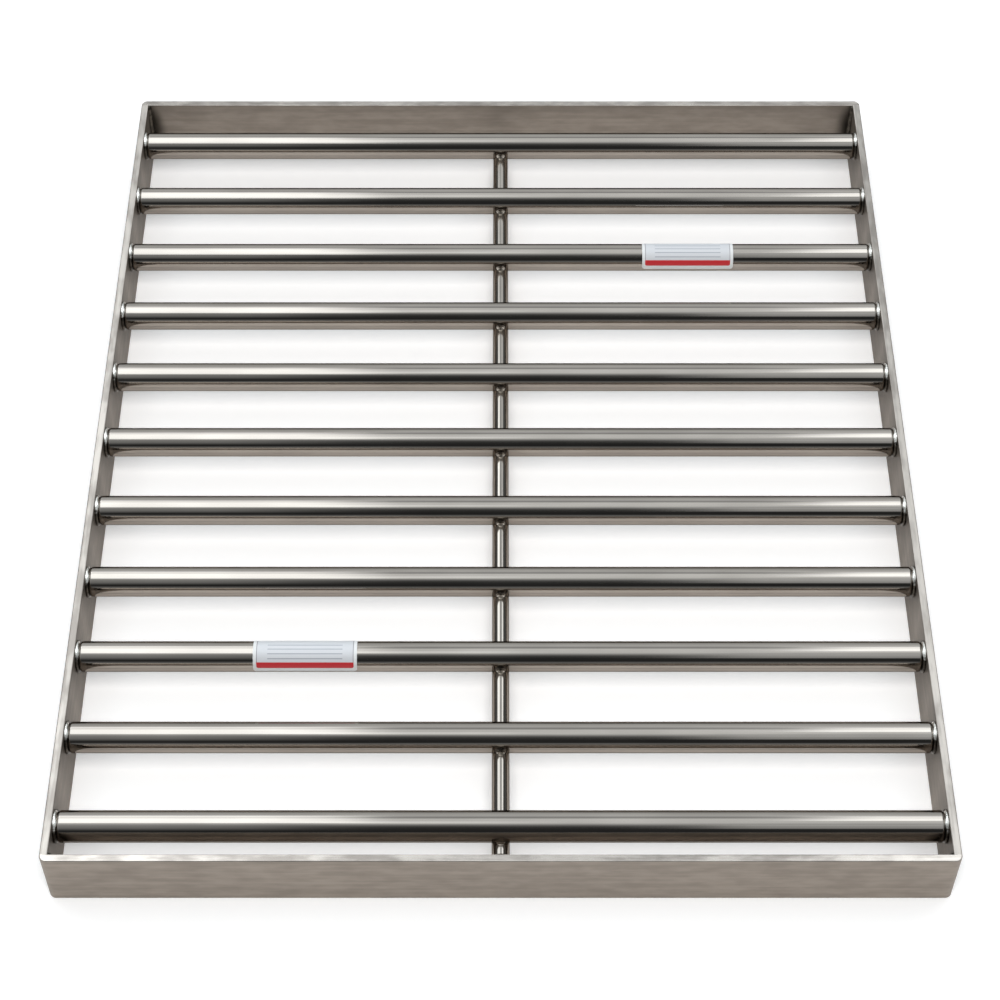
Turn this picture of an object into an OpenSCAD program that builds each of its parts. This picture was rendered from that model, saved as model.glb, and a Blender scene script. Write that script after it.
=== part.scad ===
// Magnetic grate separator: a welded stainless frame with eleven magnetic bars across it
// and one round tie rod, notched to carry the middle of the bars.
// Millimetres. X runs along the bars, the front rail is at -Y, +Z is up.
// The origin is at the middle of the frame, on the surface that it stands on.

/* [Frame] */
// Outside width of the frame, along the bars
frame_wid = 700; // [500:1:900]
// Outside length of the frame, from front to back
frame_len = 840; // [600:1:1100]
// Height of the four rails, which are flat bars on edge
rail_h = 58; // [52:1:80]
// Thickness of the rails
rail_t = 6.4; // [5:0.1:10]
// Radius of the outer upright corners, as a share of the rail thickness
corner_share = 0.85; // [0.3:0.01:0.95]
// Leg of the weld bead in each inside corner
corner_weld_leg = 3; // [1.5:0.1:5]

/* [Bars] */
// Outside diameter of a magnetic bar
bar_d = 25; // [20:0.5:30]
// Depth of the bars' tops below the top edge of the rails
bar_drop = 1; // [0.5:0.1:6]
// Wall of the bars' tubes
bar_wall = 1.2; // [0.8:0.1:2]

/* [Bar spacing] */
// Front face of the frame to the axis of the first bar
front_offset = 38.1; // [30:0.1:60]
// Axis of the last bar to the back face of the frame
back_offset = 49.2; // [30:0.1:70]
// Space between the first two bars, as a share of the mean spacing
first_bay_share = 1.07; // [0.8:0.001:1.2]
// Space between the second and third bars, as a share of the mean spacing
second_bay_share = 1.024; // [0.8:0.001:1.2]
// Each of the three spaces behind the seventh bar, as a share of the mean spacing
rear_bay_share = 0.977; // [0.9:0.001:1.1]

/* [End plugs] */
// Length of a plug's head, which closes the end of the tube
head_len = 5; // [4:0.1:8]
// Radius of the rounded rim of the head
head_edge_r = 2.4; // [1:0.1:3.5]
// Length of the spigot that fills the end of the tube
spigot_len = 9.9; // [5:0.1:20]
// Diameter of the neck between the head and the rail
neck_d = 16; // [10:0.5:18]
// Gap between the head and the rail, which the ring weld fills
weld_gap = 2.7; // [1.5:0.1:5]
// How far the ring weld climbs from the bar's top to the rail's top edge, as a share
weld_climb = 0.8; // [0.2:0.05:0.95]

/* [Magnets] */
// Thickness of a pole plate
plate_t = 3; // [2:0.1:5]
// Radial clearance of the magnets and plates in the tube
stack_clear = 0.2; // [0.1:0.05:0.5]

/* [Tie rod] */
// Diameter of the tie rod
rod_d = 14; // [12:0.5:20]
// Depth of the rod's top below the axes of the bars, which rest in its saddles
rod_below = 3; // [2:0.1:8]
// Clearance between a bar and its saddle in the rod
saddle_clear = 0.2; // [0.1:0.05:0.5]
// Length of the rod past the first and the last bar
rod_stub = 10.5; // [4:0.5:11]
// Chamfer of the rod's ends
rod_chamfer = 1; // [0.5:0.1:2]
// Radius of the tack weld's bead, which is laid over the rod on both sides of each bar
tack_r = 1.6; // [1:0.1:2.5]
// Angle that the bead covers around the rod
tack_wrap = 100; // [60:1:140]

/* [Labels] */
// Length of a label along its bar
label_len = 84; // [50:1:120]
// Thickness of the label film
label_t = 0.2; // [0.1:0.05:0.4]
// Glue line between a label and its bar
glue_t = 0.05; // [0.02:0.01:0.1]
// Angle that a label wraps around its bar
label_wrap = 164; // [120:1:200]
// Angle from the top of the bar, towards the front, at which the label's lower edge lies
label_low_edge = 101; // [80:1:120]
// Middle of the label on the front part of the grate, from the middle of its bar
front_label_x = -158; // [-180:1:-80]
// Middle of the label on the back part of the grate, from the middle of its bar
back_label_x = 173; // [80:1:180]

/* [Hidden] */
$fn = 64;
bar_count = 11;
bay_count = bar_count - 1;
rear_start_bar = 7;
rear_bays = 3;
magnets_per_bar = 22;
front_label_bar = 3;
back_label_bar = 9;
overrun = 1;

// The spaces that have no share of their own divide what is left evenly
mean_bay = (frame_len - front_offset - back_offset) / bay_count;
even_bays = bay_count - 2 - rear_bays;
even_bay_share = (bay_count - first_bay_share - second_bay_share - rear_bays * rear_bay_share) / even_bays;
function rear_before(k) = max(0, min(k - rear_start_bar, rear_bays));
function shares_before(k) =
    (k > 1 ? first_bay_share : 0)
    + (k > 2 ? second_bay_share : 0)
    + rear_before(k) * rear_bay_share
    + (max(0, k - 3) - rear_before(k)) * even_bay_share;
function bar_y(k) = front_offset + shares_before(k) * mean_bay - frame_len / 2;

corner_r = corner_share * rail_t;
clear_half = frame_wid / 2 - rail_t;
side_rail_len = frame_len - 2 * rail_t;

bar_r = bar_d / 2;
bar_z = rail_h - bar_drop - bar_r;
bar_half = clear_half - weld_gap;
tube_half = bar_half - head_len;
bore_r = bar_r - bar_wall;
neck_r = neck_d / 2;
head_flat_r = bar_r - head_edge_r;
weld_toe_r = bar_r + weld_climb * bar_drop;

stack_half = tube_half - spigot_len;
stack_r = bore_r - stack_clear;
magnet_len = (2 * stack_half - (magnets_per_bar + 1) * plate_t) / magnets_per_bar;
stack_pitch = magnet_len + plate_t;

rod_r = rod_d / 2;
rod_z = bar_z - rod_below - rod_r;
rod_half = (bar_y(bar_count) - bar_y(1)) / 2 + bar_r + rod_stub;
rod_middle = (bar_y(bar_count) + bar_y(1)) / 2;
// Distance from the axis of a bar to where its surface meets the top of the rod
tack_reach = sqrt(bar_r * bar_r - rod_below * rod_below);

function two_digits(k) = str(k < 10 ? "0" : "", k);
function bar_node(name, k) = str(name, "_", two_digits(k));

// Places a shape drawn along +Z on the axis of bar k, with +Z turned to +X
module on_bar(k) {
    translate([0, bar_y(k), bar_z]) rotate([0, 90, 0]) children();
}

// Draws its children at the right end of a bar, and again mirrored at the left end
module at_both_ends() {
    children();
    mirror([0, 0, 1]) children();
}

// Plan of a rail across the frame, with both of its outer corners rounded
module cross_rail_plan() {
    translate([-frame_wid / 2, corner_r]) square([frame_wid, rail_t - corner_r]);
    translate([corner_r - frame_wid / 2, 0]) square([frame_wid - 2 * corner_r, rail_t]);
    for (side = [0, 1]) {
        mirror([side, 0]) translate([corner_r - frame_wid / 2, corner_r]) intersection() {
            circle(corner_r);
            translate([-corner_r, -corner_r]) square(corner_r);
        }
    }
}

module cross_rail() {
    color("silver") translate([0, -frame_len / 2, 0]) linear_extrude(rail_h) cross_rail_plan();
}

module front_rail() {
    cross_rail();
}

module back_rail() {
    mirror([0, 1, 0]) cross_rail();
}

module side_rail(side) {
    color("silver")
        translate([side * (clear_half + rail_t / 2), 0, rail_h / 2])
            cube([rail_t, side_rail_len, rail_h], center = true);
}

module left_rail() {
    side_rail(-1);
}

module right_rail() {
    side_rail(1);
}

// A bead with a quarter-round face in each inside corner of the frame
module corner_bead() {
    linear_extrude(rail_h) intersection() {
        circle(corner_weld_leg);
        square(corner_weld_leg);
    }
}

module corner_welds() {
    color("gray")
        for (flip_x = [0, 1], flip_y = [0, 1]) {
            mirror([flip_x, 0, 0]) mirror([0, flip_y, 0])
                translate([-clear_half, -side_rail_len / 2, 0]) corner_bead();
        }
}

module bar_tube(k) {
    color("gainsboro") on_bar(k) difference() {
        cylinder(h = 2 * tube_half, r = bar_r, center = true);
        cylinder(h = 2 * (tube_half + overrun), r = bore_r, center = true);
    }
}

// Half section of a plug: spigot, rounded head and neck, from the inside out
module plug_section() {
    translate([0, -spigot_len]) square([bore_r, spigot_len]);
    square([bar_r, head_len - head_edge_r]);
    square([head_flat_r, head_len]);
    translate([head_flat_r, head_len - head_edge_r]) intersection() {
        circle(head_edge_r);
        square(head_edge_r);
    }
    square([neck_r, head_len + weld_gap]);
}

module end_plugs(k) {
    color("gainsboro") on_bar(k) at_both_ends()
        translate([0, 0, tube_half]) rotate_extrude() plug_section();
}

// Half section of the weld around a neck: widest at the rail, with a rounded face
module ring_weld_section() {
    intersection() {
        translate([neck_r, 0]) square([weld_toe_r - neck_r, weld_gap]);
        union() {
            square([head_flat_r, weld_gap]);
            translate([head_flat_r, weld_gap]) circle(weld_toe_r - head_flat_r);
        }
    }
}

module ring_welds(side) {
    color("gray")
        for (k = [1:bar_count]) {
            on_bar(k) mirror([0, 0, side > 0 ? 0 : 1])
                translate([0, 0, bar_half]) rotate_extrude() ring_weld_section();
        }
}

module left_ring_welds() {
    ring_welds(-1);
}

module right_ring_welds() {
    ring_welds(1);
}

module magnets(k) {
    color("dimgray") on_bar(k)
        for (n = [0:magnets_per_bar - 1]) {
            translate([0, 0, n * stack_pitch + plate_t - stack_half]) cylinder(h = magnet_len, r = stack_r);
        }
}

module pole_plates(k) {
    color("darkgray") on_bar(k)
        for (n = [0:magnets_per_bar]) {
            translate([0, 0, n * stack_pitch - stack_half]) cylinder(h = plate_t, r = stack_r);
        }
}

// Places a shape drawn along Z on the axis of the rod, with its local +Y turned up
module on_rod(y) {
    translate([0, y, rod_z]) rotate([90, 0, 0]) children();
}

// A round rod with chamfered ends and a saddle under each bar
module tie_rod() {
    shaft_half = rod_half - rod_chamfer;
    tip_r = rod_r - rod_chamfer;
    color("gainsboro") difference() {
        on_rod(rod_middle) {
            cylinder(h = 2 * shaft_half, r = rod_r, center = true);
            at_both_ends() translate([0, 0, shaft_half]) cylinder(h = rod_chamfer, r1 = rod_r, r2 = tip_r);
        }
        for (k = [1:bar_count]) {
            on_bar(k) cylinder(h = 2 * rod_d, r = bar_r + saddle_clear, center = true);
        }
    }
}

// A round bead over the top of the rod on both sides of each bar, cut to the round of both
module tack_welds() {
    color("gray")
        for (k = [1:bar_count], side = [-1, 1]) {
            difference() {
                on_rod(bar_y(k) + side * tack_reach) rotate([0, 0, 90 - tack_wrap / 2])
                    rotate_extrude(angle = tack_wrap) translate([rod_r, 0]) circle(tack_r);
                on_rod(bar_y(k) + side * tack_reach) cylinder(h = 4 * tack_r, r = rod_r, center = true);
                on_bar(k) cylinder(h = 2 * rod_d, r = bar_r, center = true);
            }
        }
}

// A thin film around the top and front of a bar
module label(k, middle) {
    color("white") on_bar(k) translate([0, 0, middle - label_len / 2])
        rotate([0, 0, 180 + label_low_edge - label_wrap])
            rotate_extrude(angle = label_wrap)
                translate([bar_r + glue_t, 0]) square([label_t, label_len]);
}

module front_label() {
    label(front_label_bar, front_label_x);
}

module back_label() {
    label(back_label_bar, back_label_x);
}

front_rail();
back_rail();
left_rail();
right_rail();
corner_welds();
for (k = [1:bar_count]) {
    bar_tube(k);
    end_plugs(k);
    magnets(k);
    pole_plates(k);
}
left_ring_welds();
right_ring_welds();
tie_rod();
tack_welds();
front_label();
back_label();
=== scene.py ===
import math

import bmesh
import bpy
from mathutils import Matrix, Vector


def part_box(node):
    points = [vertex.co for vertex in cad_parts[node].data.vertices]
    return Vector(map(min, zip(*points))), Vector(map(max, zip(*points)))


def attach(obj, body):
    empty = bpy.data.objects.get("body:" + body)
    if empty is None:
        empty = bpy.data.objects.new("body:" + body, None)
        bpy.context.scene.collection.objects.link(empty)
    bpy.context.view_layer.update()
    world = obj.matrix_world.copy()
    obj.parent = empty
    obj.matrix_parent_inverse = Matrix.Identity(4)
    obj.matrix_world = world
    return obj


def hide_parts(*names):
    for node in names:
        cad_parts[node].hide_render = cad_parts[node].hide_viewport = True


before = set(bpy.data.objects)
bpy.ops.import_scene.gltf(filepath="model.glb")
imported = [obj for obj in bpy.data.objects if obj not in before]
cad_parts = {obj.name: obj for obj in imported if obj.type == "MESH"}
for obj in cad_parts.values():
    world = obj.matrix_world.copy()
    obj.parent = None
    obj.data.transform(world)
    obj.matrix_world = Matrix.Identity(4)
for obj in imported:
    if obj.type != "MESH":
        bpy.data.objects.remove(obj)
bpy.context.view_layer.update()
scene = bpy.context.scene
scene.view_settings.view_transform = "Standard"

# The camera looks down on the grate from in front of its front rail, square to it.
# Its place comes from the corners of the frame and the ends of the bars in the photograph.
CAMERA_PLACE = (-0.0005, -1.2873, 1.6198)
CAMERA_DIP = 52.153
CAMERA_LENS = 84.053
CAMERA_SENSOR = 36.0
CAMERA_CLIP = (0.05, 60)

camera = bpy.data.objects.new("camera", bpy.data.cameras.new("camera"))
camera.location = CAMERA_PLACE
camera.rotation_euler = (math.radians(90 - CAMERA_DIP), 0, 0)
camera.data.lens = CAMERA_LENS
camera.data.sensor_width = CAMERA_SENSOR
camera.data.clip_start, camera.data.clip_end = CAMERA_CLIP
scene.collection.objects.link(camera)
scene.camera = camera


# The studio has a pale wall behind, a large softbox overhead to the left, a smaller one to the right and
# an unlit room in front, which gives the polished bars their dark bands. Screens at the sides show
# only in the metal, and four lamps light the floor.
class Wire:
    """An output of a node. Sums on it add Math nodes."""

    def __init__(self, graph, socket):
        self.graph, self.socket = graph, socket

    def math(self, operation, *others):
        sockets = dict(enumerate((self, *others)))
        return self.graph.add("ShaderNodeMath", {"operation": operation}, sockets)[0]

    def __add__(self, other):
        return self.math("ADD", other)

    def __sub__(self, other):
        return self.math("SUBTRACT", other)

    def __rsub__(self, other):
        return (self * -1).math("ADD", other)

    def __mul__(self, other):
        return self.math("MULTIPLY", other)

    __radd__ = __add__
    __rmul__ = __mul__

    def rise(self, low, high):
        """0 below low and 1 above high, with a smooth change between."""
        limits = {"Value": self, "From Min": low, "From Max": high}
        return self.graph.add("ShaderNodeMapRange", {"interpolation_type": "SMOOTHSTEP"}, limits)[0]

    def within(self, low, high, soft):
        """1 between low and high and 0 outside, with both edges softened."""
        return self.rise(low - soft, low + soft) * (1 - self.rise(high - soft, high + soft))


class Node:
    """A node whose outputs are read as wires, by name or by number."""

    def __init__(self, graph, node):
        self.graph, self.node = graph, node

    def __getitem__(self, key):
        return Wire(self.graph, self.node.outputs[key])


class Graph:
    """The node tree of a material or of the world."""

    def __init__(self, tree):
        self.tree = tree
        tree.nodes.clear()

    def add(self, kind, settings=None, sockets=None):
        node = self.tree.nodes.new(kind)
        for name, value in (settings or {}).items():
            if name == "stops":
                ramp = node.color_ramp
                while len(ramp.elements) < len(value):
                    ramp.elements.new(0.5)
                for element, (place, tone) in zip(ramp.elements, value):
                    element.position = place
                    element.color = (tone, tone, tone, 1)
            else:
                setattr(node, name, value)
        for name, value in (sockets or {}).items():
            if isinstance(value, Wire):
                self.tree.links.new(value.socket, node.inputs[name])
            else:
                node.inputs[name].default_value = value
        return Node(self, node)

    def mix(self, share, first, second):
        """The first colour where share is 0 and the second where it is 1."""
        sockets = {0: share, 6: first, 7: second}
        return self.add("ShaderNodeMix", {"data_type": "RGBA"}, sockets)[2]


def new_piece(name, mesh, *materials):
    piece = bpy.data.objects.new(name, mesh)
    scene.collection.objects.link(piece)
    for material in materials:
        mesh.materials.append(material)
    return piece


def new_material(name):
    material = bpy.data.materials.new(name)
    material.use_nodes = True
    return material, Graph(material.node_tree)


WALL_PEAK = 2.0
WALL_TILTS = (-110, 110)
WALL = (
    # tilt from straight up, towards the front, and light
    (-110, 0.60), (-90, 0.75), (-70, 0.95), (-55, 1.10), (-46, 0.95), (-38, 0.60), (-31, 0.65),
    (-25, 1.42), (-10, 1.38), (4, 1.35), (12, 1.0), (18, 0.62), (25, 0.28), (34, 0.10),
    (48, 0.05), (70, 0.04), (80, 0.30), (110, 0.40),
)
WALL_SIDES, WALL_SIDE_SOFT, WALL_SIDE_LIGHT = (-0.46, 0.46), 0.08, 0.14
SIDE_SCREEN_LIGHT, SIDE_SCREEN_FADE = 0.55, (0.2, 0.45)
PANELS = (
    # strength, from side to side, from tilt to tilt, softness of the sides and of the tilts
    (1.40, (-0.44, -0.24), (-49, -35), 0.05, 4),
    (0.35, (0.12, 0.44), (-54, -31), 0.03, 4),
    (0.34, (-0.5, -0.09), (20, 50), 0.04, 14),
    (0.65, (0.09, 0.4), (18, 46), 0.02, 5),
    (0.50, (-0.07, 0.005), (-6, 10), 0.015, 4),
)
ROOM_TINT = (0.91, 1.0, 1.07, 1)
SOFTBOXES = (
    # name, from side to side, then how far back and how high the front and the back edge are
    ("left_softbox", (-1.45, -0.25), (-0.64, 2.45), (1.33, 1.37)),
    ("right_softbox", (0.58, 1.25), (0.04, 2.60), (1.26, 1.69)),
)
SOFTBOX_LIGHT = 1.7
SOFTBOX_FADE = 0.10
LAMPS = (
    # name, place and power
    ("front_lamp", (0.0, -1.25, 2.2), 33.0),
    ("left_lamp", (-1.6, 0.6, 1.9), 4.0),
    ("right_lamp", (1.6, 0.6, 1.9), 4.0),
    ("back_lamp", (0.0, 1.7, 1.9), 2.5),
)
LAMP_SIDE = 0.9
LAMP_EVEN_DISTANCE = 2.5

world = bpy.data.worlds.new("studio")
scene.world = world
world.use_nodes = True
room = Graph(world.node_tree)
toward = room.add("ShaderNodeSeparateXYZ", {}, {0: room.add("ShaderNodeTexCoord")["Generated"]})
side = toward["X"]
tilt = (toward["Y"] * -1).math("ARCTAN2", toward["Z"]) * math.degrees(1)
low_tilt, high_tilt = WALL_TILTS
wall_stops = [((t - low_tilt) / (high_tilt - low_tilt), light / WALL_PEAK) for t, light in WALL]
wall_place = (tilt - low_tilt) * (1 / (high_tilt - low_tilt))
light = room.add("ShaderNodeValToRGB", {"stops": wall_stops}, {0: wall_place})[0] * WALL_PEAK
light = light * (side.within(*WALL_SIDES, WALL_SIDE_SOFT) * (1 - WALL_SIDE_LIGHT) + WALL_SIDE_LIGHT)
for strength, sides, tilts, side_soft, tilt_soft in PANELS:
    light = light + side.within(*sides, side_soft) * tilt.within(*tilts, tilt_soft) * strength
mirrored = room.add("ShaderNodeLightPath")["Is Glossy Ray"]
screen = (1 - side.within(*WALL_SIDES, WALL_SIDE_SOFT)) * (1 - toward["Y"].rise(*SIDE_SCREEN_FADE))
light = light + mirrored * screen * SIDE_SCREEN_LIGHT
backdrop = room.add("ShaderNodeBackground", {}, {"Color": ROOM_TINT, "Strength": light})
room.add("ShaderNodeOutputWorld", {}, {"Surface": backdrop[0]})
for name, (left, right), (front_y, front_z), (back_y, back_z) in SOFTBOXES:
    material, graph = new_material(name)
    spot = graph.add("ShaderNodeSeparateXYZ", {}, {0: graph.add("ShaderNodeTexCoord")["Object"]})
    bright = spot["X"].within(left, right, SOFTBOX_FADE) * spot["Z"].within(back_z, front_z, SOFTBOX_FADE / 2)
    cloth = graph.add("ShaderNodeEmission", {}, {"Color": ROOM_TINT, "Strength": bright * SOFTBOX_LIGHT})
    clear = graph.add("ShaderNodeBsdfTransparent")
    both = graph.add("ShaderNodeAddShader", {}, {0: cloth[0], 1: clear[0]})
    graph.add("ShaderNodeOutputMaterial", {}, {"Surface": both[0]})
    slope = Vector((0, back_y - front_y, back_z - front_z)).normalized() * SOFTBOX_FADE
    front, back = Vector((0, front_y, front_z)) - slope, Vector((0, back_y, back_z)) + slope
    sides = (left - SOFTBOX_FADE, right + SOFTBOX_FADE)
    sheet = bpy.data.meshes.new(name)
    sheet.from_pydata([(x, e.y, e.z) for e in (front, back) for x in sides], [], [(0, 1, 3, 2)])
    softbox = new_piece(name, sheet, material)
    softbox.visible_camera = softbox.visible_diffuse = softbox.visible_shadow = False
for name, place, power in LAMPS:
    lamp = bpy.data.objects.new(name, bpy.data.lights.new(name, "AREA"))
    lamp.data.size = LAMP_SIDE
    lamp.data.energy = power
    lamp.location = place
    lamp.rotation_euler = (-Vector(place)).to_track_quat("-Z", "Y").to_euler()
    lamp.visible_glossy = False
    lamp.data.use_nodes = True
    glow = Graph(lamp.data.node_tree)
    even = glow.add("ShaderNodeLightFalloff", {}, {"Strength": LAMP_EVEN_DISTANCE ** -2})["Constant"]
    beam = glow.add("ShaderNodeEmission", {}, {"Strength": even})
    glow.add("ShaderNodeOutputLight", {}, {"Surface": beam[0]})
    scene.collection.objects.link(lamp)

# The floor is flat white card. Part of its white is its own, so that it stays pale under the
# grate, and the rest is lit, so that it keeps the grate's soft shadow.
MM = 0.001
FLOOR_HALF = 9.0
FLOOR_Z = -0.05 * MM
FLOOR_WHITE = (0.955, 0.93, 0.91, 1)
FLOOR_FIBRE = {"Scale": 60.0, "Detail": 3.0}
FLOOR_FIBRE_TONE = 0.985
FLOOR_OWN_WHITE = 0.195

floor_material, card = new_material("white_card")
path = card.add("ShaderNodeLightPath")
seen = path["Is Camera Ray"] + path["Is Glossy Ray"] + path["Is Transmission Ray"]
fibre = card.add("ShaderNodeTexNoise", {}, FLOOR_FIBRE)[0]
tone = card.mix(fibre, FLOOR_WHITE, [FLOOR_FIBRE_TONE * v for v in FLOOR_WHITE[:3]] + [1])
lit = card.add("ShaderNodeBsdfDiffuse", {}, {"Color": tone})
own = seen.math("MINIMUM", 1) * FLOOR_OWN_WHITE
white = card.add("ShaderNodeEmission", {}, {"Color": (1, 1, 1, 1), "Strength": own})
shown = card.add("ShaderNodeAddShader", {}, {0: lit[0], 1: white[0]})
card.add("ShaderNodeOutputMaterial", {}, {"Surface": shown[0]})
floor_mesh = bpy.data.meshes.new("floor")
corners = [(-1, -1), (1, -1), (1, 1), (-1, 1)]
floor_points = [(x * FLOOR_HALF, y * FLOOR_HALF, FLOOR_Z) for x, y in corners]
floor_mesh.from_pydata(floor_points, [], [(0, 1, 2, 3)])
new_piece("floor", floor_mesh, floor_material)

# The frame is four flat bars of stainless steel on edge, welded at the corners. The welds are
# ground flush outside, so one body with broken edges stands for the four bars.
RAIL_EDGE_R = 0.9 * MM
RAIL_CORNER_SHARE = 0.85
RAIL_CORNER_STEPS = 12
RAIL_EDGE_STEPS = 4
RAIL_LIGHT = (0.355, 0.305, 0.259, 1)
RAIL_DARK = (0.262, 0.224, 0.190, 1)
RAIL_ROUGHNESS = 0.45
RAIL_METAL = 0.6
# how fine a pattern is along and across the grain, per metre, and its detail
RAIL_STREAK = (9, 260, 3.0)
RAIL_GRAIN = (40, 1900, 2.0)
RAIL_CLOUD = (40, 110, 2.0)
RAIL_PATCH = (8, 8, 2.0)
SHADE_STAIN_PATCH = (60, 60, 3.0)
PATTERN_ROUGHNESS = 0.55
TONE_STREAK, TONE_CLOUD = 0.4, 0.6
TONE_SPAN = (0.3, 0.7)
BUMP_GRAIN, BUMP_STREAK = 0.7, 0.5
ROUGHNESS_GRAIN, ROUGHNESS_CLOUD = 0.12, 0.1
RAIL_BUMP = {"Strength": 0.12, "Distance": 0.12 * MM}
RIM_STEP = 0.9
SHARP_ANGLE = math.radians(50)
FLAT_WEIGHT = 100
# The upward faces are the ground tops of the rails, fully metal and smoother. Their lighter colour is painted
# light from overhead.
EDGE_FACING = (0.55, 0.9)
EDGE_TONE, EDGE_PATCH = 0.35, 0.65
PAINTED_LIT_TOP_LIGHT = (0.51, 0.453, 0.401, 1)
PAINTED_LIT_TOP_DARK = (0.285, 0.248, 0.218, 1)
EDGE_ROUGHNESS_CROSS, EDGE_ROUGHNESS_SIDE = 0.25, 0.40
# This brown is painted shade in the inside corners of the rails. Round the bars it is heat stain of the
# welds, spread wide into painted shade over the side rails' inner faces.
STAIN_AND_SHADE_BROWN = (0.030, 0.025, 0.019, 1)
CORNER_PAINTED_SHADE = (3 * MM, 17 * MM)
CORNER_PAINTED_SHADE_ARCH = 8 * MM
BAR_STAIN_AND_SHADE = (8 * MM, 60 * MM)
BAR_STAIN_AND_SHADE_SHARE = 0.42
SHADE_STAIN_LEAST, SHADE_STAIN_SPREAD = 0.55, 0.9
SHADE_STAIN_SIDE_SHARES = (0.6, 0.4)

front_lo, front_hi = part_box("front_rail")
back_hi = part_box("back_rail")[1]
rail_t = front_hi.y - front_lo.y
clear_x, clear_y = front_hi.x - rail_t, back_hi.y - rail_t
BAR_COUNT = 11
bar_numbers = [f"{k:02d}" for k in range(1, BAR_COUNT + 1)]
bar_axes = [sum(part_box("bar_tube_" + number), Vector()) / 2 for number in bar_numbers]


def rail_steel(name, along):
    """Satin flat bar, with the drawn grain running along the given axis, heat stains by the welds, painted
    shade in the inside corners and over the side rails' inner faces, and ground tops whose lighter colour is
    painted light.
    """
    material, graph = new_material(name)
    place = graph.add("ShaderNodeTexCoord")["Object"]
    spot = graph.add("ShaderNodeSeparateXYZ", {}, {0: place})
    facing = graph.add("ShaderNodeSeparateXYZ", {}, {0: graph.add("ShaderNodeNewGeometry")["Normal"]})

    def noise(long_scale, cross_scale, detail):
        stretch = [cross_scale] * 3
        stretch[along] = long_scale
        spread = graph.add("ShaderNodeVectorMath", {"operation": "MULTIPLY"}, {0: place, 1: stretch})
        sockets = {"Vector": spread[0], "Scale": 1.0, "Detail": detail, "Roughness": PATTERN_ROUGHNESS}
        return graph.add("ShaderNodeTexNoise", {}, sockets)[0]

    streak, grain = noise(*RAIL_STREAK), noise(*RAIL_GRAIN)
    cloud, patch = noise(*RAIL_CLOUD), noise(*RAIL_PATCH)
    tone = (streak * TONE_STREAK + cloud * TONE_CLOUD).rise(*TONE_SPAN)
    height = grain * BUMP_GRAIN + streak * BUMP_STREAK
    bump = graph.add("ShaderNodeBump", {}, {**RAIL_BUMP, "Height": height})
    # Upward faces: the ground tops, whose lighter colour is painted light.
    ground_and_lit_top = facing["Z"].rise(*EDGE_FACING)
    clear, reach = (clear_y, front_hi.x) if along else (clear_x, back_hi.y)
    far_along, far_across = (spot["XY"[axis]].math("ABSOLUTE") for axis in (along, 1 - along))
    inside = 1 - far_across.rise(*(reach - rail_t * share for share in SHADE_STAIN_SIDE_SHARES))
    level = spot["Z"] * (2 / front_hi.z) - 1
    # Painted shade: the inner faces darken towards the inside corners.
    shade_and_stain = 1 - (clear - far_along + level * level * CORNER_PAINTED_SHADE_ARCH).rise(*CORNER_PAINTED_SHADE)
    shade_and_stain = shade_and_stain * (1 - far_along.rise(clear, clear + RAIL_EDGE_R))
    if along:
        near = 1
        for axis in bar_axes:
            near = (spot["Y"] - axis.y).math("ABSOLUTE").math("MINIMUM", near)
        # Heat stain by each bar's weld, spread along the whole inner face of the side rails as painted shade.
        shade_and_stain = shade_and_stain.math("MAXIMUM", (1 - near.rise(*BAR_STAIN_AND_SHADE)) * BAR_STAIN_AND_SHADE_SHARE)
    blotch = (SHADE_STAIN_LEAST + noise(*SHADE_STAIN_PATCH) * SHADE_STAIN_SPREAD).math("MINIMUM", 1)
    shade_and_stain = shade_and_stain * inside * (1 - ground_and_lit_top) * blotch
    edge_tone = (tone * EDGE_TONE + patch * EDGE_PATCH).rise(*TONE_SPAN)
    painted_lit_top_steel = graph.mix(edge_tone, PAINTED_LIT_TOP_DARK, PAINTED_LIT_TOP_LIGHT)
    steel = graph.mix(ground_and_lit_top, graph.mix(tone, RAIL_DARK, RAIL_LIGHT), painted_lit_top_steel)
    edge_roughness = EDGE_ROUGHNESS_SIDE if along else EDGE_ROUGHNESS_CROSS
    roughness = ground_and_lit_top * (edge_roughness - RAIL_ROUGHNESS) + RAIL_ROUGHNESS
    roughness = roughness + (grain - 0.5) * ROUGHNESS_GRAIN + (cloud - 0.5) * ROUGHNESS_CLOUD
    shader = graph.add(
        "ShaderNodeBsdfPrincipled",
        {},
        {
            "Base Color": graph.mix(shade_and_stain, steel, STAIN_AND_SHADE_BROWN),
            "Metallic": ground_and_lit_top * (1 - RAIL_METAL) + RAIL_METAL,
            "Roughness": roughness,
            "Specular IOR Level": 0.0,
            "Normal": bump[0],
        },
    )
    graph.add("ShaderNodeOutputMaterial", {}, {"Surface": shader[0]})
    return material


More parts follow.
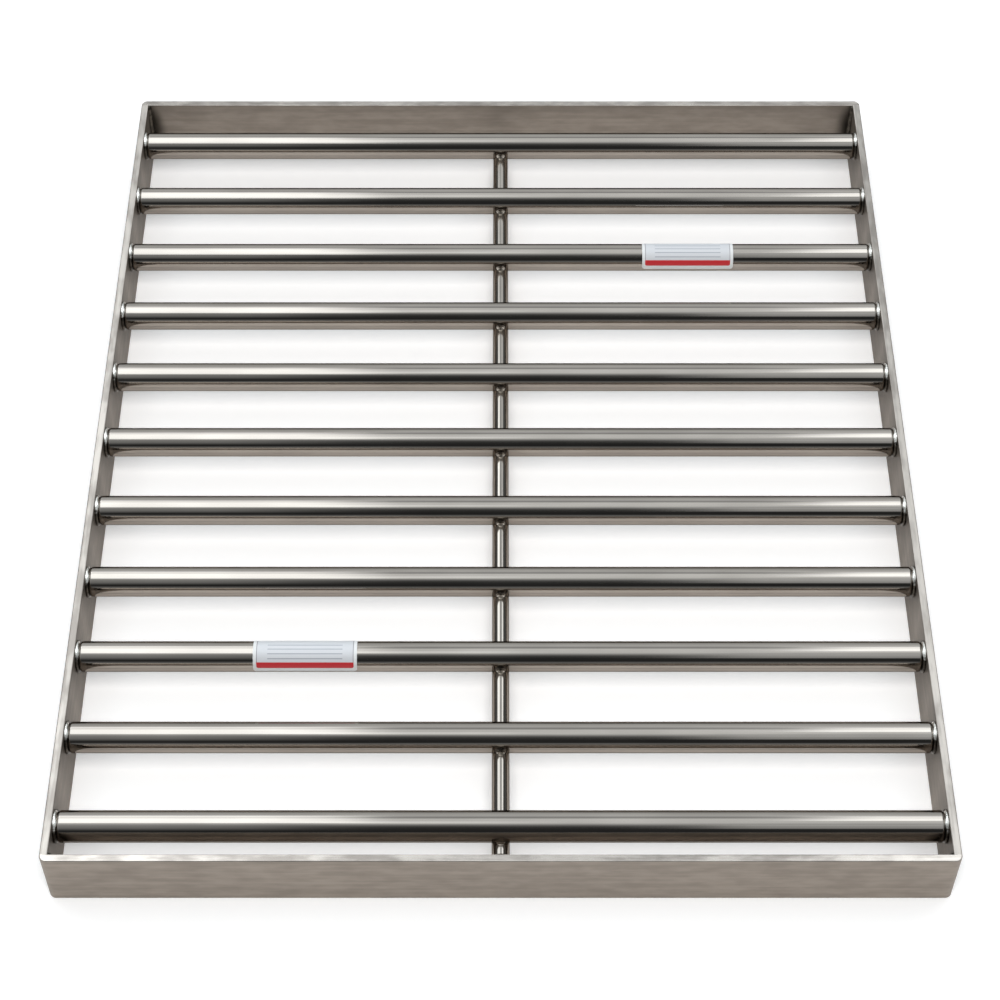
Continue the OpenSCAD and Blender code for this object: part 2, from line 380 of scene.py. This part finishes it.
def rail_frame_mesh(lo, hi, thick):
    """Four rails in one body: plan faces that share their seams, drawn up and rounded at the rims."""
    bm = bmesh.new()
    made = {}

    def corner(x, y):
        key = (round(x, 6), round(y, 6))
        if key not in made:
            made[key] = bm.verts.new((x, y, lo.z))
        return made[key]

    r = RAIL_CORNER_SHARE * thick
    seam_y, inner_x = hi.y - thick, hi.x - thick
    turn = [math.radians(90 * k / RAIL_CORNER_STEPS) for k in range(RAIL_CORNER_STEPS + 1)]
    arc = [(hi.x - r + r * math.cos(a), hi.y - r + r * math.sin(a)) for a in turn]
    back = [(hi.x, seam_y), *arc]
    back += [(-x, y) for x, y in reversed(back)]
    back += [(-inner_x, seam_y), (inner_x, seam_y)]
    sides = [(inner_x, -seam_y), (hi.x, -seam_y), (hi.x, seam_y), (inner_x, seam_y)]
    plans = [
        back,
        [(x, -y) for x, y in reversed(back)],
        sides,
        [(-x, y) for x, y in reversed(sides)],
    ]
    base = [bm.faces.new([corner(x, y) for x, y in plan]) for plan in plans]
    grown = bmesh.ops.extrude_face_region(bm, geom=base, use_keep_orig=True)["geom"]
    tops = [v for v in grown if isinstance(v, bmesh.types.BMVert)]
    bmesh.ops.translate(bm, verts=tops, vec=(0, 0, hi.z - lo.z))
    bmesh.ops.recalc_face_normals(bm, faces=bm.faces)
    rims = []
    for edge in bm.edges:
        heights = [abs(face.normal.z) for face in edge.link_faces]
        if len(heights) == 2 and abs(heights[0] - heights[1]) > RIM_STEP:
            rims.append(edge)
    bmesh.ops.bevel(bm, geom=rims, offset=RAIL_EDGE_R, segments=RAIL_EDGE_STEPS, profile=0.5, affect="EDGES")
    for face in bm.faces:
        middle = face.calc_center_median()
        face.smooth = True
        face.material_index = int(abs(middle.x) > inner_x - thick / 2 and abs(middle.y) < seam_y)
    mesh = bpy.data.meshes.new("rail_frame")
    bm.to_mesh(mesh)
    bm.free()
    mesh.set_sharp_from_angle(angle=SHARP_ANGLE)
    return mesh


rails = new_piece(
    "rail_frame",
    rail_frame_mesh(front_lo, back_hi, rail_t),
    rail_steel("rail_steel_cross", 0),
    rail_steel("rail_steel_side", 1),
)
flat = rails.modifiers.new("flat_faces", "WEIGHTED_NORMAL")
flat.weight = FLAT_WEIGHT
flat.keep_sharp = True
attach(rails, "root")
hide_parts("front_rail", "back_rail", "left_rail", "right_rail")


# The beads in the inside corners are laid upwards by hand, so each shows the ripple of the
# weld pool. They are stainless filler, brown with heat scale.
BEAD_RIPPLE = 0.22 * MM
BEAD_PITCH = 2.1 * MM
BEAD_STEPS = 6
BEAD_TRAIL = 0.55
BEAD_TINT = {"Scale": 260.0, "Detail": 3.0}
BEAD_TINT_SPAN = (0.36, 0.62)
BEAD_GRIT = {"Scale": 2600.0, "Detail": 2.0}
BEAD_GRIT_ROUGHNESS = 0.12
BEAD_BUMP = {"Strength": 0.2, "Distance": 0.1 * MM}
SCALE_LIGHT = (0.105, 0.090, 0.072, 1)
SCALE_DARK = (0.042, 0.035, 0.028, 1)
SCALE_FADE = 1.5 * MM
SCALE_WANDER = 2 * MM
SCALE_ROUGHNESS = 0.36


def bead_metal(name, light_tone, dark_tone, roughness, scale_z):
    """Filler metal of the given finish, with heat scale on what lies below the given height. On the ring
    beads the light part above that height is a painted highlight.
    """
    material, graph = new_material(name)
    place = graph.add("ShaderNodeTexCoord")["Object"]
    height = graph.add("ShaderNodeSeparateXYZ", {}, {0: place})["Z"]
    tint = graph.add("ShaderNodeTexNoise", {}, {"Vector": place, **BEAD_TINT})[0].rise(*BEAD_TINT_SPAN)
    grit = graph.add("ShaderNodeTexNoise", {}, {"Vector": place, **BEAD_GRIT})[0]
    bump = graph.add("ShaderNodeBump", {}, {**BEAD_BUMP, "Height": grit})
    clean_and_lit = (height + tint * SCALE_WANDER).rise(scale_z - SCALE_FADE, scale_z + SCALE_FADE)
    scale_colour = graph.mix(tint, SCALE_DARK, SCALE_LIGHT)
    colour = graph.mix(clean_and_lit, scale_colour, graph.mix(tint, dark_tone, light_tone))
    worn = SCALE_ROUGHNESS + clean_and_lit * (roughness - SCALE_ROUGHNESS)
    shader = graph.add(
        "ShaderNodeBsdfPrincipled",
        {},
        {
            "Base Color": colour,
            "Metallic": 1.0,
            "Roughness": worn + (grit - 0.5) * BEAD_GRIT_ROUGHNESS,
            "Normal": bump[0],
        },
    )
    graph.add("ShaderNodeOutputMaterial", {}, {"Surface": shader[0]})
    return material


def ripple(length, across):
    """How far a bead's face lies below its crests: crescents that trail towards the edges."""
    phase = length / BEAD_PITCH + BEAD_TRAIL * (2 * across - 1) ** 2
    part = phase - math.floor(phase)
    return BEAD_RIPPLE * part * part


def grid_faces(rows, columns, first, wrap_rows=False, wrap_columns=False):
    """Quads between the rows and columns of points that start at number first."""
    faces = []
    for i in range(rows if wrap_rows else rows - 1):
        for j in range(columns if wrap_columns else columns - 1):
            near, far = first + i * columns, first + (i + 1) % rows * columns
            k = (j + 1) % columns
            faces.append((near + j, near + k, far + k, far + j))
    return faces


def end_faces(rows, columns, first):
    """The first and the last row of points, each closed by one face."""
    last = first + (rows - 1) * columns
    return [tuple(range(first, first + columns)), tuple(range(last, last + columns))]


def shaded_mesh(name, points, faces):
    """A closed mesh with its faces turned outwards and shaded smooth."""
    bm = bmesh.new()
    verts = [bm.verts.new(p) for p in points]
    for face in faces:
        bm.faces.new([verts[k] for k in face])
    bmesh.ops.recalc_face_normals(bm, faces=bm.faces)
    for face in bm.faces:
        face.smooth = True
    mesh = bpy.data.meshes.new(name)
    bm.to_mesh(mesh)
    bm.free()
    mesh.set_sharp_from_angle(angle=SHARP_ANGLE)
    return mesh


bead_lo, bead_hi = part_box("corner_welds")
CORNER_BEAD_R = 3 * MM
CORNER_BEAD_ARC = 10
CORNER_BEAD_TOP = 3.5 * MM
CORNER_BEAD_TIP = 0.25
points, faces = [], []
rows = round((bead_hi.z - bead_lo.z) / BEAD_PITCH * BEAD_STEPS) + 1
for sx in (-1, 1):
    for sy in (-1, 1):
        first = len(points)
        for i in range(rows):
            z = bead_lo.z + (bead_hi.z - bead_lo.z - RAIL_EDGE_R) * i / (rows - 1)
            over = max(0, (z - bead_hi.z + RAIL_EDGE_R) / CORNER_BEAD_TOP + 1)
            for j in range(CORNER_BEAD_ARC + 1):
                share = j / CORNER_BEAD_ARC
                reach = CORNER_BEAD_R - ripple(z, share) * math.sin(math.pi * share)
                reach *= CORNER_BEAD_TIP + (1 - CORNER_BEAD_TIP) * math.sqrt(max(0, 1 - over ** 2))
                a = math.radians(90 * share)
                x, y = bead_hi.x - reach * math.cos(a), bead_hi.y - reach * math.sin(a)
                points.append((sx * x, sy * y, z))
            points.append((sx * bead_hi.x, sy * bead_hi.y, z))
        columns = CORNER_BEAD_ARC + 2
        faces += grid_faces(rows, columns, first, wrap_columns=True) + end_faces(rows, columns, first)
corner_scale = bead_metal("corner_bead", SCALE_LIGHT, SCALE_DARK, SCALE_ROUGHNESS, bead_lo.z)
corner_beads = new_piece("corner_beads", shaded_mesh("corner_beads", points, faces), corner_scale)
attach(corner_beads, "root")
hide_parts("corner_welds")

# Each magnetic bar is a stainless tube, ground and polished round, closed at both ends by turned
# plugs that are polished with it. The solids keep their shape and take the finish.
BAR_LIGHT = (0.378, 0.334, 0.293, 1)
BAR_DARK = (0.336, 0.296, 0.259, 1)
BAR_ROUGHNESS = 0.055
STEEL_EDGE_TINT = (0.3, 0.3, 0.3, 1)
# how fine a pattern is along and around the stock, per metre, and its detail
POLISH_LINES = (1500, 25, 2.0)
POLISH_HAZE = (14, 60, 2.0)
POLISH_WAVE = (11, 45, 1.0)
POLISH_BUMP = {"Strength": 0.10, "Distance": 0.4 * MM}
LINES_HEIGHT = 0.012
HAZE_ROUGHNESS, LINES_ROUGHNESS = 0.05, 0.02


def polished_steel(name, along, roughness):
    """Bright polished round stock, with fine polishing lines around the given axis."""
    material, graph = new_material(name)
    place = graph.add("ShaderNodeTexCoord")["Object"]

    def noise(long_scale, round_scale, detail):
        stretch = [round_scale] * 3
        stretch[along] = long_scale
        spread = graph.add("ShaderNodeVectorMath", {"operation": "MULTIPLY"}, {0: place, 1: stretch})
        return graph.add("ShaderNodeTexNoise", {}, {"Vector": spread[0], "Scale": 1.0, "Detail": detail})[0]

    lines, haze, wave = noise(*POLISH_LINES), noise(*POLISH_HAZE), noise(*POLISH_WAVE)
    bump = graph.add("ShaderNodeBump", {}, {**POLISH_BUMP, "Height": wave + lines * LINES_HEIGHT})
    shader = graph.add(
        "ShaderNodeBsdfPrincipled",
        {},
        {
            "Base Color": graph.mix(haze.rise(*TONE_SPAN), BAR_DARK, BAR_LIGHT),
            "Metallic": 1.0,
            "Roughness": haze * HAZE_ROUGHNESS + lines * LINES_ROUGHNESS + roughness,
            "Specular Tint": STEEL_EDGE_TINT,
            "Normal": bump[0],
        },
    )
    graph.add("ShaderNodeOutputMaterial", {}, {"Surface": shader[0]})
    return material


def finish_node(name, material):
    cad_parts[name].material_slots[0].material = material


bar_polish = polished_steel("bar_polish", 0, BAR_ROUGHNESS)
for number in bar_numbers:
    finish_node("bar_tube_" + number, bar_polish)
    finish_node("end_plugs_" + number, bar_polish)


# Inside each tube a stack of sintered magnets alternates with steel pole plates.
# The magnets are nickel plated, and the plates are turned mild steel.
MAGNET_LIGHT, MAGNET_DARK = (0.30, 0.28, 0.25, 1), (0.20, 0.19, 0.17, 1)
PLATE_LIGHT, PLATE_DARK = (0.42, 0.41, 0.39, 1), (0.30, 0.29, 0.28, 1)
MAGNET_ROUGHNESS, PLATE_ROUGHNESS = 0.35, 0.25
MAGNET_SPECKLE, PLATE_SPECKLE = 900.0, 1400.0
SPECKLE_DETAIL = 4.0
SPECKLE_ROUGHNESS = 0.15
STACK_BUMP = {"Strength": 0.15, "Distance": 0.1 * MM}


def stack_metal(name, light_tone, dark_tone, roughness, speckle):
    material, graph = new_material(name)
    place = graph.add("ShaderNodeTexCoord")["Object"]
    sockets = {"Vector": place, "Scale": speckle, "Detail": SPECKLE_DETAIL}
    cloud = graph.add("ShaderNodeTexNoise", {}, sockets)[0]
    bump = graph.add("ShaderNodeBump", {}, {**STACK_BUMP, "Height": cloud})
    shader = graph.add(
        "ShaderNodeBsdfPrincipled",
        {},
        {
            "Base Color": graph.mix(cloud, dark_tone, light_tone),
            "Metallic": 1.0,
            "Roughness": roughness + cloud * SPECKLE_ROUGHNESS,
            "Normal": bump[0],
        },
    )
    graph.add("ShaderNodeOutputMaterial", {}, {"Surface": shader[0]})
    return material


magnet_plating = stack_metal("magnet_plating", MAGNET_LIGHT, MAGNET_DARK, MAGNET_ROUGHNESS, MAGNET_SPECKLE)
pole_steel = stack_metal("pole_steel", PLATE_LIGHT, PLATE_DARK, PLATE_ROUGHNESS, PLATE_SPECKLE)
for number in bar_numbers:
    finish_node("magnets_" + number, magnet_plating)
    finish_node("pole_plates_" + number, pole_steel)

# A ring weld around the neck of each plug fixes the bar to the side rail. It is laid by hand in
# one turn, so the bead is rippled, and its bright crown reaches the top edge of the rail.
# The crown's light colour is a painted highlight, and below it the bead is dark with heat scale.
RING_RIPPLES = 40
RING_STEPS = RING_RIPPLES * BEAD_STEPS
RING_START_STEP = 2.4
RING_SWELL, RING_SWELLS = 0.12 * MM, 3
RING_ARC = 8
RING_NECK_R = 8 * MM
RING_FOOT_R = 10.6 * MM
RING_FOOT_SINK = 0.15 * MM
RING_TURN = 125
RING_CROWN_LEAN = 16
RING_CROWN_TURN = 20
RING_CROWN_FOOT = 1.3 * MM
RING_CROWN_SINK = 0.8 * MM
# Above this rise over the bar's axis the ring bead takes its light colours, a painted highlight on the crown.
RING_HIGHLIGHT_RISE = 10.6 * MM
RING_CROWN_HIGHLIGHT_LIGHT = (0.78, 0.735, 0.67, 1)
RING_CROWN_HIGHLIGHT_DARK = (0.55, 0.515, 0.465, 1)
RING_ROUGHNESS = 0.26


def ring_bead_mesh(name, node, side):
    lo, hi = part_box(node)
    rail_x = hi.x if side > 0 else lo.x
    width = hi.x - lo.x
    last_cos = math.cos(math.radians(RING_TURN))
    points, faces = [], []
    for number in bar_numbers:
        tube_lo, tube_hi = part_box("bar_tube_" + number)
        y, z = (tube_lo.y + tube_hi.y) / 2, (tube_lo.z + tube_hi.z) / 2
        toe_r = hi.z - z
        first = len(points)
        start = RING_START_STEP * int(number)
        for i in range(RING_STEPS):
            a = 2 * math.pi * i / RING_STEPS
            from_crown = math.degrees(math.acos(math.cos(a + math.radians(RING_CROWN_LEAN))))
            crown = math.exp(-(from_crown / RING_CROWN_TURN) ** 2)
            foot_r = RING_FOOT_R + RING_CROWN_FOOT * crown
            foot_depth = width + RING_FOOT_SINK + RING_CROWN_SINK * crown
            section = []
            for j in range(RING_ARC + 1):
                share = j / RING_ARC
                t = math.radians(RING_TURN * share)
                sink = ripple((i / BEAD_STEPS + start) * BEAD_PITCH, share) * math.sin(math.pi * share)
                sink += RING_SWELL * (0.5 + 0.5 * math.sin(RING_SWELLS * a + start)) * share
                sink *= 1 - crown
                reach = foot_r + (toe_r - foot_r - sink) * math.sin(t)
                lean = (math.cos(t) - last_cos) / (1 - last_cos)
                depth = foot_depth * lean - sink * max(0, math.cos(t))
                section.append((depth, reach))
            section += [(0, RING_NECK_R), (width, RING_NECK_R)]
            for depth, reach in section:
                points.append((rail_x - side * depth, y + reach * math.sin(a), z + reach * math.cos(a)))
        faces += grid_faces(RING_STEPS, RING_ARC + 3, first, wrap_rows=True, wrap_columns=True)
    return shaded_mesh(name, points, faces)


# The ring beads are light above this height, a painted highlight, and dark with heat scale below it.
ring_highlight_z = bar_axes[0].z + RING_HIGHLIGHT_RISE
ring_bead = bead_metal("ring_bead", RING_CROWN_HIGHLIGHT_LIGHT, RING_CROWN_HIGHLIGHT_DARK, RING_ROUGHNESS, ring_highlight_z)
RINGS = (("left_ring_beads", "left_ring_welds", -1), ("right_ring_beads", "right_ring_welds", 1))
for name, node, side in RINGS:
    beads = new_piece(name, ring_bead_mesh(name, node, side), ring_bead)
    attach(beads, "root")
    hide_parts(node)

# The tie rod is bright round bar that runs from front to back, notched to carry the middle of each bar
# so that none bends. A short bead over the rod holds it on both sides of each bar.
ROD_ROUGHNESS = 0.10
TACK_WRAP = 58
TACK_STEPS = 24
TACK_END_SHARE = 0.12
TACK_SECTION = (
    # out from the bar and up from the rod, in millimetres, from the bar down to the rod and back inside
    (0.02, 4.6), (0.3, 3.1), (0.55, 2.1), (0.9, 1.45), (1.3, 1.1), (1.7, 0.6), (1.9, -0.05),
    (-0.8, -0.6),
)
TACK_LIGHT = (0.60, 0.55, 0.49, 1)
TACK_DARK = (0.42, 0.385, 0.34, 1)
TACK_ROUGHNESS = 0.18

rod_lo, rod_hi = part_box("tie_rod")
rod_r, rod_z = (rod_hi.x - rod_lo.x) / 2, (rod_lo.z + rod_hi.z) / 2
bar_lo, bar_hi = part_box("bar_tube_01")
bar_r = (bar_hi.z - bar_lo.z) / 2
points, faces = [], []
for axis in bar_axes:
    for toward_y in (-1, 1):
        first = len(points)
        for i in range(TACK_STEPS + 1):
            across = i / TACK_STEPS - 0.5
            a = math.radians(TACK_WRAP) * across
            swell = math.sqrt(max(0, math.cos(math.pi * across)))
            taper = TACK_END_SHARE + (1 - TACK_END_SHARE) * swell
            for out, up in TACK_SECTION:
                reach = rod_r + up * MM * taper
                z = rod_z + reach * math.cos(a)
                wall = math.sqrt(bar_r ** 2 - (z - axis.z) ** 2)
                points.append((reach * math.sin(a), axis.y + toward_y * (wall + out * MM * taper), z))
        rows, columns = TACK_STEPS + 1, len(TACK_SECTION)
        faces += grid_faces(rows, columns, first, wrap_columns=True) + end_faces(rows, columns, first)
tack_metal = bead_metal("tack_bead", TACK_LIGHT, TACK_DARK, TACK_ROUGHNESS, rod_lo.z)
tack_beads = new_piece("tack_beads", shaded_mesh("tack_beads", points, faces), tack_metal)
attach(tack_beads, "root")
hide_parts("tack_welds")
finish_node("tie_rod", polished_steel("rod_polish", 1, ROD_ROUGHNESS))

# The labels are printed vinyl stickers wrapped around the third bar from each end: white film with a
# grey panel, blank writing rules and a red band. No words are printed on them.
LABEL_GLUE = 0.05 * MM
LABEL_FILM = 0.2 * MM
LABEL_CORNER = 3.4 * MM
LABEL_TILTS = (-63, 101)
LABEL_ROWS, LABEL_COLUMNS = 60, 14
PANEL_INSET = 2.7 * MM
PANEL_TILTS = (-49, 81)
PANEL_CORNER = 1.8 * MM
BAND_TILT = 56
OUTLINE_WIDTH = 0.55 * MM
RULE_TILTS = (-12, 6, 24, 42)
RULE_WIDTH = 0.7 * MM
RULE_INSET = 9 * MM
PRINT_SOFT = 0.06 * MM
FILM_WEAR = {"Scale": 420.0, "Detail": 3.0}
FILM_BUMP = {"Strength": 0.06, "Distance": 0.1 * MM}
FILM_ROUGHNESS, FILM_WEAR_ROUGHNESS = 0.34, 0.12
FILM_WHITE = (0.76, 0.76, 0.75, 1)
PANEL_GREY = (0.64, 0.645, 0.66, 1)
OUTLINE_GREY = (0.27, 0.25, 0.27, 1)
RULE_GREY = (0.33, 0.34, 0.38, 1)
BAND_RED = (0.56, 0.026, 0.032, 1)


def label_print(name, middle_x, axis_y, axis_z, radius, half_length):
    """The film's print, drawn by length along the bar and by arc around it, in metres."""
    material, graph = new_material(name)
    place = graph.add("ShaderNodeSeparateXYZ", {}, {0: graph.add("ShaderNodeTexCoord")["Object"]})
    along = place["X"] - middle_x
    around = (axis_y - place["Y"]).math("ARCTAN2", place["Z"] - axis_z) * radius

    def arc(tilt):
        return math.radians(tilt) * radius

    top, bottom = arc(PANEL_TILTS[0]), arc(PANEL_TILTS[1])
    half_wide, half_high = half_length - PANEL_INSET, (bottom - top) / 2
    from_middle = (around - (top + bottom) / 2).math("ABSOLUTE")
    over_wide = (along.math("ABSOLUTE") - (half_wide - PANEL_CORNER)).math("MAXIMUM", 0)
    over_high = (from_middle - (half_high - PANEL_CORNER)).math("MAXIMUM", 0)
    edge = (over_wide * over_wide + over_high * over_high).math("SQRT") - PANEL_CORNER
    panel = 1 - edge.rise(-PRINT_SOFT, PRINT_SOFT)
    band = panel * around.rise(arc(BAND_TILT) - PRINT_SOFT, arc(BAND_TILT) + PRINT_SOFT)
    outline = edge.within(-OUTLINE_WIDTH, 0, PRINT_SOFT) * (1 - band)
    rule_end = half_wide - RULE_INSET
    ruled = 1 - along.math("ABSOLUTE").rise(rule_end - PRINT_SOFT, rule_end + PRINT_SOFT)
    rules = 0
    for middle in map(arc, RULE_TILTS):
        rules = around.within(middle - RULE_WIDTH / 2, middle + RULE_WIDTH / 2, PRINT_SOFT) + rules
    rules = rules * ruled
    colour = graph.mix(panel, FILM_WHITE, PANEL_GREY)
    colour = graph.mix(rules, colour, RULE_GREY)
    colour = graph.mix(outline, colour, OUTLINE_GREY)
    colour = graph.mix(band, colour, BAND_RED)
    wear = graph.add("ShaderNodeTexNoise", {}, FILM_WEAR)[0]
    bump = graph.add("ShaderNodeBump", {}, {**FILM_BUMP, "Height": wear})
    shader = graph.add(
        "ShaderNodeBsdfPrincipled",
        {},
        {
            "Base Color": colour,
            "Roughness": FILM_ROUGHNESS + wear * FILM_WEAR_ROUGHNESS,
            "Normal": bump[0],
        },
    )
    graph.add("ShaderNodeOutputMaterial", {}, {"Surface": shader[0]})
    return material


def label_mesh(name, middle_x, axis_y, axis_z, inner_r, half_length):
    """A film with rounded corners, bent around the bar."""
    outer_r = inner_r + LABEL_FILM
    low, high = (math.radians(t) for t in LABEL_TILTS)
    half_high = (high - low) / 2 * outer_r
    points, faces = [], []
    for radius in (outer_r, inner_r):
        for i in range(LABEL_ROWS + 1):
            a = low + (high - low) * (0.5 - 0.5 * math.cos(math.pi * i / LABEL_ROWS))
            up = abs((a - (low + high) / 2) * outer_r)
            past = max(0, up - (half_high - LABEL_CORNER))
            reach = half_length - LABEL_CORNER + math.sqrt(max(0, LABEL_CORNER ** 2 - past ** 2))
            for j in range(LABEL_COLUMNS + 1):
                x = middle_x + reach * (2 * j / LABEL_COLUMNS - 1)
                points.append((x, axis_y - radius * math.sin(a), axis_z + radius * math.cos(a)))
    rows, columns = LABEL_ROWS + 1, LABEL_COLUMNS + 1
    under = rows * columns
    faces += grid_faces(rows, columns, 0) + grid_faces(rows, columns, under)
    rim = list(range(columns)) + [i * columns + columns - 1 for i in range(1, rows)]
    rim += [(rows - 1) * columns + j for j in range(columns - 2, -1, -1)]
    rim += [i * columns for i in range(rows - 2, 0, -1)]
    for k, here in enumerate(rim):
        there = rim[(k + 1) % len(rim)]
        faces.append((here, there, there + under, here + under))
    return shaded_mesh(name, points, faces)


LABELS = (("front_label_film", "front_label", "03"), ("back_label_film", "back_label", "09"))
for name, node, number in LABELS:
    lo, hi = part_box(node)
    tube_lo, tube_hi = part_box("bar_tube_" + number)
    axis_y, axis_z = (tube_lo.y + tube_hi.y) / 2, (tube_lo.z + tube_hi.z) / 2
    inner_r = (tube_hi.z - tube_lo.z) / 2 + LABEL_GLUE
    middle, half_length = (lo.x + hi.x) / 2, (hi.x - lo.x) / 2
    ink = label_print(name + "_print", middle, axis_y, axis_z, inner_r + LABEL_FILM, half_length)
    film = new_piece(name, label_mesh(name, middle, axis_y, axis_z, inner_r, half_length), ink)
    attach(film, "root")
    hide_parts(node)
